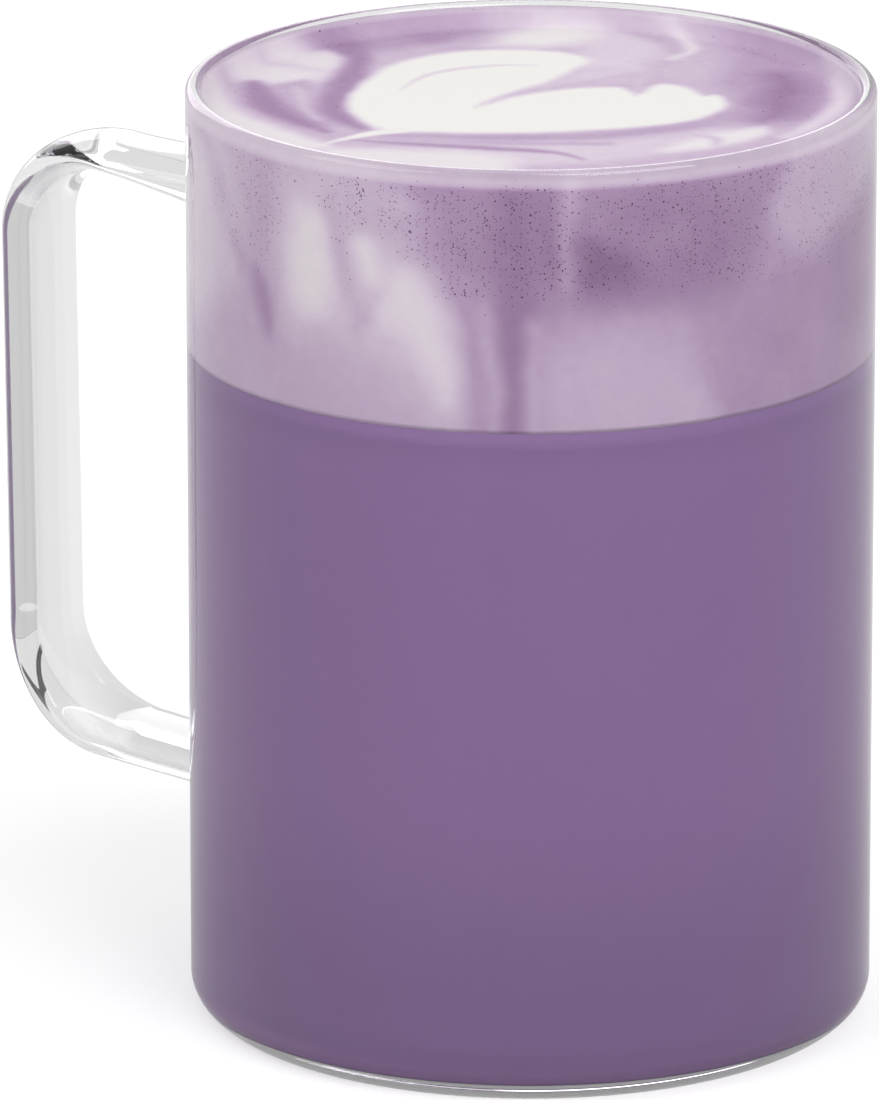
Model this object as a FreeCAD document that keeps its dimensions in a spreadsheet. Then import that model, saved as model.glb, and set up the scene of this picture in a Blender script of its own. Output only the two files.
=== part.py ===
"""Ube latte in a clear glass mug.

A straight blown-glass mug with a strap handle holds a purple latte up to the
drink line and a deep layer of milk foam above it. The mug and its handle are
one piece of glass. The drink and the foam fill the glass face to face.

Frame: millimetres, +Z up, origin on the mug's axis at its resting face, the
handle towards -X. The driving dimensions are in the sheet "sizes".
"""
import FreeCAD
import Part

import math
import os

import Sketcher

PARTS_FOLDER = "parts"

# alias, millimetres, what it is
SIZES = [
    ("mug_radius", 41.0, "outside radius of the straight wall"),
    ("mug_height", 114.2, "resting face to the top of the lip"),
    ("wall", 2.0, "thickness of the glass wall"),
    ("base_glass", 2.3, "thickness of the glass base"),
    ("foot_round", 4.3, "outside rounding between wall and base"),
    ("inside_round", 2.5, "inside rounding between wall and base"),
    ("lip_round", 0.95, "fire-polished rounding of both edges of the lip"),
    ("foam_drop", 2.9, "lip down to the flat middle of the foam"),
    ("foam_depth", 28.9, "flat middle of the foam down to the drink"),
    ("cling_rise", 0.8, "how far the foam climbs the wall"),
    ("cling_reach", 1.6, "foot of the climb in from the wall"),
    ("cling_round", 6.0, "rounding at the foot of the climb"),
    ("top_reach", 31.7, "wall out to the handle's centre line at its upper corner"),
    ("low_reach", 30.8, "wall out to the handle's centre line at its lower corner"),
    ("top_drop", 16.4, "lip down to the handle's upper corner"),
    ("low_height", 24.0, "resting face up to the handle's lower corner"),
    ("top_slope", 2.7, "how much lower the upper arm is at the wall"),
    ("low_slope", 2.55, "how much lower the lower arm is at the wall"),
    ("top_bend", 11.0, "centre-line radius of the upper bend"),
    ("low_bend", 13.8, "centre-line radius of the lower bend"),
    ("root_sink", 1.2, "how far the handle's ends sit in the wall"),
    ("top_root_width", 12.6, "upper arm at the wall, across"),
    ("top_root_thickness", 7.6, "upper arm at the wall, through"),
    ("neck_width", 12.0, "upper arm where the bend starts, across"),
    ("neck_thickness", 4.4, "upper arm where the bend starts, through"),
    ("grip_width", 12.2, "straight grip, across"),
    ("grip_thickness", 6.8, "straight grip, through"),
    ("heel_width", 16.2, "lower arm where the bend ends, across"),
    ("heel_thickness", 4.4, "lower arm where the bend ends, through"),
    ("low_root_width", 15.6, "lower arm at the wall, across"),
    ("low_root_thickness", 4.2, "lower arm at the wall, through"),
    ("root_fillet", 1.5, "glass run out round the handle's ends"),
]

INSIDE_RADIUS = "sizes.mug_radius - sizes.wall"
FOAM_TOP = "sizes.mug_height - sizes.foam_drop"
DRINK_LINE = "sizes.mug_height - sizes.foam_drop - sizes.foam_depth"


def make_sheet(doc):
    sheet = doc.addObject("Spreadsheet::Sheet", "sizes")
    for row, (alias, millimetres, meaning) in enumerate(SIZES, start=1):
        sheet.set(f"A{row}", alias)
        sheet.set(f"B{row}", str(millimetres))
        sheet.setAlias(f"B{row}", alias)
        sheet.set(f"C{row}", meaning)
    doc.recompute()
    return sheet


def origin_plane(body, role):
    return next(plane for plane in body.Origin.OriginFeatures if plane.Role == role)


def upright_sketch(body, name, turned=False):
    """A sketch in the upright plane through the axis; turned, its +x points to -X."""
    sketch = body.newObject("Sketcher::SketchObject", name)
    sketch.AttachmentSupport = [(origin_plane(body, "XZ_Plane"), "")]
    sketch.MapMode = "FlatFace"
    half_turn = FreeCAD.Rotation(FreeCAD.Vector(0, 1, 0), 180 if turned else 0)
    sketch.AttachmentOffset = FreeCAD.Placement(FreeCAD.Vector(), half_turn)
    return sketch


def bind(sketch, constraint, name, expression):
    """Add a constraint whose value follows an expression on the sheet."""
    index = sketch.addConstraint(constraint)
    sketch.renameConstraint(index, name)
    sketch.setExpression("Constraints." + name, expression)


def pin_point(sketch, point, name, across, up):
    """Hold a construction point at two sheet expressions from the origin."""
    for kind, axis, expression in (("DistanceX", -2, across), ("DistanceY", -1, up)):
        distance = float(sketch.evalExpression(expression))
        if distance:
            dimension = Sketcher.Constraint(kind, -1, 1, point, 1, distance)
            bind(sketch, dimension, f"{name}_{kind[-1].lower()}", expression)
        else:
            sketch.addConstraint(Sketcher.Constraint("PointOnObject", point, 1, axis))


def rounded_outline(sketch, corners, closed=True):
    """Join named corners by straight runs, with a tangent arc where one has a radius.

    Each corner is (name, across, up, radius), its last three as sheet
    expressions. A construction point keeps the place of each sharp corner.
    """
    count = len(corners)
    places = [
        FreeCAD.Vector(
            float(sketch.evalExpression(across)), float(sketch.evalExpression(up)), 0
        )
        for _, across, up, _ in corners
    ]
    marks = []
    for place, (name, across, up, _) in zip(places, corners):
        marks.append(sketch.addGeometry(Part.Point(place), True))
        pin_point(sketch, marks[-1], name, across, up)

    bends = [None] * count
    run_ends = [(place, place) for place in places]
    for index, (_, _, _, radius) in enumerate(corners):
        if radius is not None:
            before = (places[index - 1] - places[index]).normalize()
            after = (places[(index + 1) % count] - places[index]).normalize()
            size = float(sketch.evalExpression(radius))
            setback = size / math.tan(before.getAngle(after) / 2)
            bisector = (before + after).normalize()
            centre = places[index] + bisector * math.hypot(size, setback)
            start = places[index] + before * setback
            end = places[index] + after * setback
            left_turn = after.cross(before).z > 0
            arc_ends = (start, end) if left_turn else (end, start)
            arc = Part.Arc(arc_ends[0], centre - bisector * size, arc_ends[1])
            bends[index] = (sketch.addGeometry(arc, False), left_turn)
            run_ends[index] = (start, end)

    runs = []
    for index in range(count if closed else count - 1):
        following = (index + 1) % count
        line = Part.LineSegment(run_ends[index][1], run_ends[following][0])
        run = sketch.addGeometry(line, False)
        runs.append(run)
        for corner in (index, following):
            sharp = bends[corner] is None
            if sharp:
                end = 1 if corner == index else 2
                join = Sketcher.Constraint("Coincident", run, end, marks[corner], 1)
            else:
                join = Sketcher.Constraint("PointOnObject", marks[corner], 1, run)
            sketch.addConstraint(join)

    for index, (name, _, _, radius) in enumerate(corners):
        if radius is not None:
            arc, left_turn = bends[index]
            ends = (1, 2) if left_turn else (2, 1)
            sketch.addConstraint(Sketcher.Constraint("Tangent", runs[index - 1], 2, arc, ends[0]))
            sketch.addConstraint(Sketcher.Constraint("Tangent", runs[index], 1, arc, ends[1]))
            size = float(sketch.evalExpression(radius))
            bind(sketch, Sketcher.Constraint("Radius", arc, size), name + "_radius", radius)


def revolve(body, sketch, name):
    solid = body.newObject("PartDesign::Revolution", name)
    solid.Profile = sketch
    solid.ReferenceAxis = (sketch, ["V_Axis"])
    solid.Angle = 360
    return solid


def handle_section(body, path, name, edge, place, sized):
    """An oval square to the handle's path: its width level, its thickness in the plane."""
    sketch = body.newObject("Sketcher::SketchObject", name + "_section")
    sketch.AttachmentSupport = [(path, edge)]
    sketch.MapMode = "NormalToEdge"
    sketch.MapPathParameter = place
    width = f"sizes.{sized}_width"
    thickness = f"sizes.{sized}_thickness"
    across = float(sketch.evalExpression(width))
    through = float(sketch.evalExpression(thickness))
    side = FreeCAD.Vector(across / 2, 0, 0)
    top = FreeCAD.Vector(0, through / 2, 0)
    oval = sketch.addGeometry(Part.Ellipse(side, top, FreeCAD.Vector()), False)
    sketch.exposeInternalGeometry(oval)
    long_axis, short_axis = oval + 1, oval + 2
    sketch.addConstraint(Sketcher.Constraint("Coincident", oval, 3, -1, 1))
    sketch.addConstraint(Sketcher.Constraint("Horizontal", long_axis))
    bind(sketch, Sketcher.Constraint("Distance", long_axis, across), "across", width)
    bind(sketch, Sketcher.Constraint("Distance", short_axis, through), "through", thickness)
    return sketch


def path_edges(path):
    """Names of the path's edges, from the upper arm down to the lower arm."""
    edges = enumerate(path.Shape.Edges, start=1)
    downwards = sorted(edges, key=lambda numbered: -numbered[1].CenterOfMass.z)
    return [f"Edge{number}" for number, _ in downwards]


def wall_seams(shape, mug_radius):
    """Names of the edges where the handle runs into the outside of the wall."""
    seams = []
    for number, edge in enumerate(shape.Edges, start=1):
        points = edge.discretize(Number=9)
        on_wall = all(abs(math.hypot(p.x, p.y) - mug_radius) < 0.01 for p in points)
        heights = [p.z for p in points]
        level = max(heights) - min(heights) < 0.01
        upright = max(math.hypot(p.x - points[0].x, p.y - points[0].y) for p in points) < 0.01
        if on_wall and not level and not upright:
            seams.append(f"Edge{number}")
    return seams


def make_glass_wall(body):
    """The straight tumbler: an even wall, a flat base and a fire-polished lip."""
    lip = "min(sizes.lip_round; sizes.wall * 0.475)"
    sketch = upright_sketch(body, "wall_section")
    rounded_outline(
        sketch,
        [
            ("base_centre", "0", "0", None),
            ("foot", "sizes.mug_radius", "0", "sizes.foot_round"),
            ("lip_outside", "sizes.mug_radius", "sizes.mug_height", lip),
            ("lip_inside", INSIDE_RADIUS, "sizes.mug_height", lip),
            ("inside_corner", INSIDE_RADIUS, "sizes.base_glass", "sizes.inside_round"),
            ("floor_centre", "0", "sizes.base_glass", None),
        ],
    )
    return revolve(body, sketch, "wall_and_base")


def make_handle(body):
    """The strap handle: an oval rod that swells and flattens along its path.

    Each straight run or bend is a length of its own between two sections, and
    neighbouring lengths share the section where they meet.
    """
    root = "sizes.mug_radius - sizes.root_sink"
    top_corner = "sizes.mug_height - sizes.top_drop"
    path = upright_sketch(body, "handle_path", turned=True)
    rounded_outline(
        path,
        [
            ("top_root", root, top_corner + " - sizes.top_slope", None),
            ("top_corner", "sizes.mug_radius + sizes.top_reach", top_corner, "sizes.top_bend"),
            ("low_corner", "sizes.mug_radius + sizes.low_reach", "sizes.low_height", "sizes.low_bend"),
            ("low_root", root, "sizes.low_height - sizes.low_slope", None),
        ],
        closed=False,
    )
    body.Document.recompute()
    upper_arm, upper_bend, grip, lower_bend, lower_arm = path_edges(path)
    sections = {
        name: handle_section(body, path, name, edge, place, sized)
        for name, edge, place, sized in (
            ("top_root", upper_arm, 0.0, "top_root"),
            ("neck", upper_arm, 1.0, "neck"),
            ("grip_top", grip, 0.0, "grip"),
            ("grip_end", grip, 1.0, "grip"),
            ("heel", lower_arm, 0.0, "heel"),
            ("low_root", lower_arm, 1.0, "low_root"),
        )
    }
    body.Document.recompute()
    for name, edge, first, last in (
        ("upper_arm", upper_arm, "top_root", "neck"),
        ("upper_bend", upper_bend, "neck", "grip_top"),
        ("grip", grip, "grip_top", "grip_end"),
        ("lower_bend", lower_bend, "grip_end", "heel"),
        ("lower_arm", lower_arm, "heel", "low_root"),
    ):
        length = body.newObject("PartDesign::AdditivePipe", name)
        length.Profile = sections[first]
        length.Spine = (path, [edge])
        length.Transformation = "Multisection"
        length.Sections = [(sections[last], "")]
    return length


def make_glass_mug(doc):
    """The tumbler and its handle as one piece of glass, with run-out glass between them."""
    body = doc.addObject("PartDesign::Body", "glass_mug")
    make_glass_wall(body)
    handle = make_handle(body)
    doc.recompute()
    run_out = body.newObject("PartDesign::Fillet", "root_run_out")
    run_out.Base = (handle, wall_seams(handle.Shape, float(doc.sizes.mug_radius)))
    run_out.setExpression("Radius", "sizes.root_fillet")
    return body


def make_drink(doc):
    """The latte: it fills the inside of the glass from the base up to the drink line."""
    body = doc.addObject("PartDesign::Body", "drink")
    sketch = upright_sketch(body, "drink_section")
    rounded_outline(
        sketch,
        [
            ("floor_centre", "0", "sizes.base_glass", None),
            ("inside_corner", INSIDE_RADIUS, "sizes.base_glass", "sizes.inside_round"),
            ("line_edge", INSIDE_RADIUS, DRINK_LINE, None),
            ("line_centre", "0", DRINK_LINE, None),
        ],
    )
    revolve(body, sketch, "latte")
    return body


def make_foam(doc):
    """The milk foam: a deep layer, flat on top, that clings a little up the wall."""
    body = doc.addObject("PartDesign::Body", "foam")
    sketch = upright_sketch(body, "foam_section")
    rounded_outline(
        sketch,
        [
            ("line_centre", "0", DRINK_LINE, None),
            ("line_edge", INSIDE_RADIUS, DRINK_LINE, None),
            ("cling_top", INSIDE_RADIUS, FOAM_TOP + " + sizes.cling_rise", None),
            ("cling_toe", INSIDE_RADIUS + " - sizes.cling_reach", FOAM_TOP, "sizes.cling_round"),
            ("top_centre", "0", FOAM_TOP, None),
        ],
    )
    revolve(body, sketch, "milk_foam")
    return body


def check_sound(doc, bodies):
    """Stop if any object failed to recompute or a sub-part's solid is not sound."""
    for item in doc.Objects:
        if {"Invalid", "Error"} & set(item.State):
            raise RuntimeError(f"{item.Name} did not recompute: {item.State}")
    for body in bodies:
        shape = body.Shape
        if shape.isNull() or not shape.isValid() or len(shape.Solids) != 1:
            raise RuntimeError(f"{body.Label} is not one sound solid")


def write_steps(bodies):
    os.makedirs(PARTS_FOLDER, exist_ok=True)
    for body in bodies:
        body.Shape.exportStep(os.path.join(PARTS_FOLDER, body.Label + ".step"))
        print(f"{body.Label}: {body.Shape.Volume / 1000:.1f} ml, {len(body.Shape.Faces)} faces")


def main():
    doc = FreeCAD.newDocument("ube_latte")
    make_sheet(doc)
    bodies = [make_glass_mug(doc), make_drink(doc), make_foam(doc)]
    doc.recompute()
    check_sound(doc, bodies)
    write_steps(bodies)


main()
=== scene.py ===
"""Looks for an ube latte: purple latte and marbled milk foam in a clear glass mug.

Metres, +Z up, origin on the mug's axis at its resting face, handle towards -X.
"""
import math

import bmesh
import bpy
import numpy as np
from bpy.props import FloatProperty, FloatVectorProperty, IntProperty, PointerProperty
from mathutils import Matrix, Vector
from mathutils.kdtree import KDTree


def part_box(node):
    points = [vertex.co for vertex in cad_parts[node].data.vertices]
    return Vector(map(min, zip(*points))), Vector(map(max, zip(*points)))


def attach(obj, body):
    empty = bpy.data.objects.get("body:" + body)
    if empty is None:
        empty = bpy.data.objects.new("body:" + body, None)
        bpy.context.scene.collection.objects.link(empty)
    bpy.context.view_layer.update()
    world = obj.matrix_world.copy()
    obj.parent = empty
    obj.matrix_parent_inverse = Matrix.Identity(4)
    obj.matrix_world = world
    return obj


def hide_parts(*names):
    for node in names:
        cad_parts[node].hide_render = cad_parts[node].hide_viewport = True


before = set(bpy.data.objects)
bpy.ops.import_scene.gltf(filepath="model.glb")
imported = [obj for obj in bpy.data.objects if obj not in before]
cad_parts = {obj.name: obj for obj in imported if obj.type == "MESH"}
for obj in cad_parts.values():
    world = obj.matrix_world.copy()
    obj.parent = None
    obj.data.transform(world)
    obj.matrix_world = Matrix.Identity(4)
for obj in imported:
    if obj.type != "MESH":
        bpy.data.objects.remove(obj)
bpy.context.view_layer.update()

bl_info = {
    "name": "Ube Latte",
    "version": (1, 0, 0),
    "blender": (4, 5, 0),
    "location": "View3D > Sidebar > Ube Latte",
    "description": "Builds the drink, foam, glass and stage of an ube latte",
    "category": "Add Mesh",
}

MM = 0.001

# How far round from -Y the drinker's side is, which the foam's pattern faces.
FRONT = math.radians(34)

DRINK_LOW, DRINK_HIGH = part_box("drink")
FOAM_LOW, FOAM_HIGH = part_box("foam")
MUG_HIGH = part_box("glass_mug")[1]


# ---------------------------------------------------------------- settings


class DrinkSettings(bpy.types.PropertyGroup):
    """The purple latte under the foam."""

    colour: FloatVectorProperty(
        name="Colour", description="Body of the latte", subtype="COLOR",
        default=(0.24, 0.139, 0.308), min=0, max=1,
    )
    overlap: FloatProperty(
        name="Overlap", description="How far the drink reaches into the glass wall",
        subtype="DISTANCE", default=0.15 * MM, min=0, max=1 * MM,
    )
    corner: FloatProperty(
        name="Corner", description="Rounding between the wall and the base inside",
        subtype="DISTANCE", default=2.5 * MM, min=0, max=10 * MM,
    )


class FoamSettings(bpy.types.PropertyGroup):
    """The milk foam and its purple marbling."""

    milk: FloatVectorProperty(
        name="Milk", description="Palest foam", subtype="COLOR",
        default=(0.795, 0.782, 0.758), min=0, max=1,
    )
    lilac: FloatVectorProperty(
        name="Lilac", description="Milk with a breath of ube", subtype="COLOR",
        default=(0.66, 0.575, 0.67), min=0, max=1,
    )
    lavender: FloatVectorProperty(
        name="Lavender", description="Even, pale marbling", subtype="COLOR",
        default=(0.535, 0.42, 0.56), min=0, max=1,
    )
    mauve: FloatVectorProperty(
        name="Mauve", description="Stronger marbling", subtype="COLOR",
        default=(0.42, 0.295, 0.45), min=0, max=1,
    )
    violet: FloatVectorProperty(
        name="Violet", description="Deep marbling", subtype="COLOR",
        default=(0.32, 0.2, 0.35), min=0, max=1,
    )
    plum: FloatVectorProperty(
        name="Plum", description="Deepest marbling", subtype="COLOR",
        default=(0.225, 0.128, 0.25), min=0, max=1,
    )
    drop: FloatProperty(
        name="Drop", description="Lip down to the flat middle of the foam",
        subtype="DISTANCE", default=2.9 * MM, min=0, max=20 * MM,
    )
    cling_rise: FloatProperty(
        name="Cling Rise", description="How far the foam climbs the wall",
        subtype="DISTANCE", default=2.4 * MM, min=0, max=5 * MM,
    )
    cling_reach: FloatProperty(
        name="Cling Reach", description="Foot of the climb in from the wall",
        subtype="DISTANCE", default=2.2 * MM, min=0.1 * MM, max=10 * MM,
    )
    seed: IntProperty(name="Seed", description="Marbling of the far side", default=7)


class GlassSettings(bpy.types.PropertyGroup):
    """The blown borosilicate glass."""

    index: FloatProperty(
        name="Index", description="Index of refraction", default=1.47, min=1.3, max=1.7,
    )
    wall: FloatProperty(
        name="Wall", description="Thickness of the wall", subtype="DISTANCE",
        default=2.0 * MM, min=0.5 * MM, max=6 * MM,
    )
    lip: FloatProperty(
        name="Lip", description="Fire-polished rounding of both edges of the lip",
        subtype="DISTANCE", default=0.95 * MM, min=0.1 * MM, max=3 * MM,
    )
    foot: FloatProperty(
        name="Foot", description="Outside rounding between wall and base",
        subtype="DISTANCE", default=4.3 * MM, min=0.5 * MM, max=12 * MM,
    )
    run_out: FloatProperty(
        name="Run-out", description="Glass run out round the handle's ends",
        subtype="DISTANCE", default=1.5 * MM, min=0.2 * MM, max=4 * MM,
    )


class StageSettings(bpy.types.PropertyGroup):
    """The light that falls on the mug."""

    key: FloatProperty(
        name="Key", description="Power of the large soft light", subtype="POWER",
        default=13.4, min=0,
    )
    fill: FloatProperty(
        name="Fill", description="Power of the weaker soft light", subtype="POWER",
        default=5.0, min=0,
    )
    back: FloatProperty(
        name="Back", description="Power of the light behind", subtype="POWER",
        default=3.2, min=0,
    )
    ambient: FloatProperty(
        name="Ambient", description="Strength of the light from all round",
        default=0.6, min=0,
    )


# ---------------------------------------------------------------- shared steps


def turned_mesh(name, outline, segments):
    """A closed solid of revolution through (radius, height) pairs, from its lowest
    point on the axis up to its highest."""
    angles = np.arange(segments) * (2 * math.pi / segments)
    rings = outline[1:-1]
    points = [(0.0, 0.0, outline[0][1])]
    for radius, height in rings:
        points += zip(radius * np.cos(angles), radius * np.sin(angles), [height] * segments)
    points.append((0.0, 0.0, outline[-1][1]))
    last = len(points) - 1
    faces = []
    for k in range(segments):
        following = (k + 1) % segments
        faces.append((0, 1 + following, 1 + k))
        for ring in range(len(rings) - 1):
            low, high = 1 + ring * segments, 1 + (ring + 1) * segments
            faces.append((low + k, low + following, high + following, high + k))
        top = 1 + (len(rings) - 1) * segments
        faces.append((top + k, top + following, last))
    mesh = bpy.data.meshes.new(name)
    mesh.from_pydata(points, [], faces)
    mesh.polygons.foreach_set("use_smooth", [True] * len(faces))
    mesh.update()
    return mesh


def new_object(name, data):
    """An object in the scene that holds the data."""
    holder = bpy.data.objects.new(name, data)
    bpy.context.scene.collection.objects.link(holder)
    return holder


class Steps:
    """Shorthand for adding nodes to one node tree."""

    def __init__(self, tree):
        self.nodes, self.links = tree.nodes, tree.links

    def put(self, socket, value):
        """Link a socket to an output, or give it a plain value."""
        if isinstance(value, bpy.types.NodeSocket):
            self.links.new(value, socket)
        else:
            socket.default_value = value

    def add(self, kind, inputs=(), **settings):
        """A new node with its settings, and its inputs by name or number."""
        node = self.nodes.new(kind)
        for name, value in settings.items():
            setattr(node, name, value)
        for key, value in dict(inputs).items():
            self.put(node.inputs[key], value)
        return node

    def math(self, operation, *values):
        return self.add("ShaderNodeMath", enumerate(values), operation=operation).outputs[0]

    def vector(self, **parts):
        return self.add("ShaderNodeCombineXYZ", parts).outputs[0]

    def moved(self, shape, offset, chosen=True):
        """The shape with its chosen points moved by an offset."""
        return self.add("GeometryNodeSetPosition", {
            "Geometry": shape, "Offset": offset, "Selection": chosen,
        }).outputs[0]

    def mix(self, share, first, second, blend="MIX"):
        """Two colours mixed, or laid one on the other."""
        return self.add(
            "ShaderNodeMix", {0: share, 6: first, 7: second}, data_type="RGBA",
            blend_type=blend,
        ).outputs[2]

    def ramp(self, value, stops):
        """Colours that change with a value, from pairs of a place and its colour."""
        node = self.add("ShaderNodeValToRGB", {0: value})
        elements = node.color_ramp.elements
        elements[0].position, elements[-1].position = stops[0][0], stops[-1][0]
        for place, _ in stops[1:-1]:
            elements.new(place)
        for element, (_, colour) in zip(elements, stops):
            element.color = (*colour, 1)
        return node.outputs[0]

    def surface(self, shader):
        self.add("ShaderNodeOutputMaterial", {"Surface": shader.outputs[0]})


def new_group(name, tree, inputs, output):
    """A node group with named inputs and one output, its steps and what it is given."""
    group = bpy.data.node_groups.new(name, tree)
    for label, kind, default in inputs:
        socket = group.interface.new_socket(
            label, in_out="INPUT", socket_type="NodeSocket" + kind
        )
        if default is not None:
            socket.default_value = default
    label, kind = output
    group.interface.new_socket(label, in_out="OUTPUT", socket_type="NodeSocket" + kind)
    steps = Steps(group)
    return group, steps, steps.add("NodeGroupInput").outputs


# What a filling is given: the input's name, kind and default.
FILLING_INPUTS = (
    ("Radius", "Float", 38 * MM), ("Floor", "Float", 4 * MM), ("Top", "Float", 80 * MM),
    ("Corner", "Float", 2.5 * MM), ("Rise", "Float", 0.0), ("Reach", "Float", 2 * MM),
    ("Around", "Int", 360), ("Rings", "Int", 80), ("Levels", "Int", 60),
    ("Material", "Material", None),
)
# How much its rings crowd towards the wall, the least share of its radius that counts
# for that, how sharply its top climbs, and how near two points are to be one.
CROWDING, FIRST_SHARE = 0.25, 1e-4
CLIMB_CURVE = 2.2
WELD = 0.001 * MM


def filling_group():
    """What fills a round glass: a cylinder with a rounded foot whose top climbs the
    wall."""
    group, steps, given = new_group(
        "glass_filling", "GeometryNodeTree", FILLING_INPUTS, ("Geometry", "Geometry")
    )
    calc = steps.math
    radius, floor, corner = given["Radius"], given["Floor"], given["Corner"]

    crest = calc("ADD", given["Top"], given["Rise"])
    cylinder = steps.add("GeometryNodeMeshCylinder", {
        "Vertices": given["Around"], "Side Segments": given["Levels"],
        "Fill Segments": given["Rings"], "Radius": radius,
        "Depth": calc("SUBTRACT", crest, floor),
    }, fill_type="TRIANGLE_FAN")
    middle = calc("MULTIPLY", calc("ADD", crest, floor), 0.5)
    shape = steps.moved(cylinder.outputs["Mesh"], steps.vector(Z=middle))

    # rings lie closer together towards the wall
    place = steps.add("GeometryNodeInputPosition")
    x, y, z = steps.add("ShaderNodeSeparateXYZ", {0: place.outputs[0]}).outputs
    out = calc("SQRT", calc("ADD", calc("POWER", x, 2.0), calc("POWER", y, 2.0)))
    share = calc("MAXIMUM", calc("DIVIDE", out, radius), FIRST_SHARE)
    spread = calc("SUBTRACT", calc("POWER", share, -CROWDING), 1.0)
    outward = steps.add(
        "ShaderNodeVectorMath", {0: steps.vector(X=x, Y=y), "Scale": spread}, operation="SCALE"
    )
    shape = steps.moved(shape, outward.outputs[0])

    # the top sinks from the wall to its level
    inner = calc("SUBTRACT", radius, given["Reach"])
    climb = calc("DIVIDE", calc("SUBTRACT", out, inner), given["Reach"])
    climb = calc("POWER", calc("MINIMUM", calc("MAXIMUM", climb, 0.0), 1.0), CLIMB_CURVE)
    sink = calc("MULTIPLY", calc("SUBTRACT", climb, 1.0), given["Rise"])
    is_top = calc("GREATER_THAN", z, calc("SUBTRACT", crest, WELD))
    shape = steps.moved(shape, steps.vector(Z=sink), is_top)

    # the foot's edge is rounded
    past = calc("MAXIMUM", calc("SUBTRACT", out, calc("SUBTRACT", radius, corner)), 0.0)
    across = calc("SUBTRACT", calc("POWER", corner, 2.0), calc("POWER", past, 2.0))
    rounded = calc("SUBTRACT", corner, calc("SQRT", calc("MAXIMUM", across, 0.0)))
    lift = calc("MAXIMUM", calc("SUBTRACT", rounded, calc("SUBTRACT", z, floor)), 0.0)
    shape = steps.moved(shape, steps.vector(Z=lift))

    for kind, inputs in (
        ("GeometryNodeMergeByDistance", {"Distance": WELD}),
        ("GeometryNodeSetShadeSmooth", {}),
        ("GeometryNodeRealizeInstances", {}),
        ("GeometryNodeSetMaterial", {"Material": given["Material"]}),
    ):
        shape = steps.add(kind, {0: shape, **inputs}).outputs[0]
    steps.add("NodeGroupOutput", {"Geometry": shape})
    return group


def grown_mesh(name, group, values):
    """The mesh that a geometry node group makes of the values for its inputs."""
    seed = new_object(name, bpy.data.meshes.new(name + "_seed"))
    modifier = seed.modifiers.new(name, "NODES")
    modifier.node_group = group
    for socket in group.interface.items_tree:
        if socket.in_out == "INPUT" and socket.name in values:
            modifier[socket.identifier] = values[socket.name]
    evaluated = seed.evaluated_get(bpy.context.evaluated_depsgraph_get())
    mesh = bpy.data.meshes.new_from_object(evaluated)
    mesh.name = name
    empty = seed.data
    bpy.data.objects.remove(seed)
    bpy.data.meshes.remove(empty)
    return mesh


def add_piece(name, mesh, material):
    """Put a mesh in the scene as a piece of the object with one material."""
    piece = new_object(name, mesh)
    mesh.polygons.foreach_set("material_index", [0] * len(mesh.polygons))
    mesh.materials.clear()
    mesh.materials.append(material)
    return piece


def coordinates(mesh):
    points = np.empty(len(mesh.vertices) * 3, np.float32)
    mesh.vertices.foreach_get("co", points)
    return points.reshape(-1, 3).astype(float)


# ---------------------------------------------------------------- glass


# The handle's centre line: distance out from the mug's axis, height and bend radius
# at each corner, in millimetres.
HANDLE_PATH = [
    (39.8, 95.1, 0.0), (72.7, 97.8, 11.0), (71.8, 24.0, 13.8), (39.8, 21.45, 0.0),
]
# Its oval section, width and thickness, at the ends of each run and bend.
HANDLE_SECTIONS = [
    (12.6, 7.6), (12.0, 4.4), (12.2, 6.8), (12.2, 6.8), (16.2, 4.4), (15.6, 4.2),
]
# Its five pieces in order: a root at each end, two bends and the grip between them.
ROOTS, BENDS, GRIP = (0, 4), (1, 3), 2
# A root has close steps over this length next to the wall, in millimetres.
ROOT_LENGTH, ROOT_STEP = 4.5, 0.1
ROOT_STATIONS, BEND_STATIONS, GRIP_STATIONS = 24, 40, 56
# Its run-out starts this far inside the wall's face, in millimetres, and is cut off
# just before it would lie flat on the wall.
BITE, STEEPEST = 0.03, 0.9998

# Points on each stretch of the glass's outline, and steps round the mug.
FLAT_POINTS, WALL_POINTS = 12, 40
FOOT_POINTS, LIP_POINTS, CORNER_POINTS = 16, 12, 14
MUG_STEPS = 360
# A point further than this from the turned wall belongs to the handle.
WALL_REACH = 0.02 * MM


def mug_outline(settings, corner):
    """The glass's outline from under the base, over the lip, to the floor inside:
    radius, height and the direction it faces, in degrees above outwards."""
    radius, height = MUG_HIGH.x, MUG_HIGH.z
    inside, floor = radius - settings.wall, DRINK_LOW.z
    foot, lip = settings.foot, settings.lip
    outline = [(r, 0.0, -90.0) for r in np.linspace(0, radius - foot, FLAT_POINTS)]

    def bend(centre, size, start, end, steps, hollow=False):
        for angle in np.linspace(start, end, steps)[0 if hollow else 1:]:
            a = math.radians(angle)
            outline.append((
                centre[0] + size * math.cos(a), centre[1] + size * math.sin(a),
                angle + 180 if hollow else angle,
            ))

    bend((radius - foot, foot), foot, -90, 0, FOOT_POINTS)
    neck, hip = height - lip, floor + corner
    outline.extend((radius, z, 0.0) for z in np.linspace(foot, neck, WALL_POINTS)[1:])
    bend((radius - lip, neck), lip, 0, 90, LIP_POINTS)
    bend((inside + lip, neck), lip, 90, 180, LIP_POINTS)
    outline.extend((inside, z, 180.0) for z in np.linspace(neck, hip, WALL_POINTS)[1:-1])
    bend((inside - corner, hip), corner, 0, -90, CORNER_POINTS, hollow=True)
    outline.extend((r, floor, 90.0) for r in np.linspace(inside - corner, 0, FLAT_POINTS)[1:])
    return outline


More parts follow.
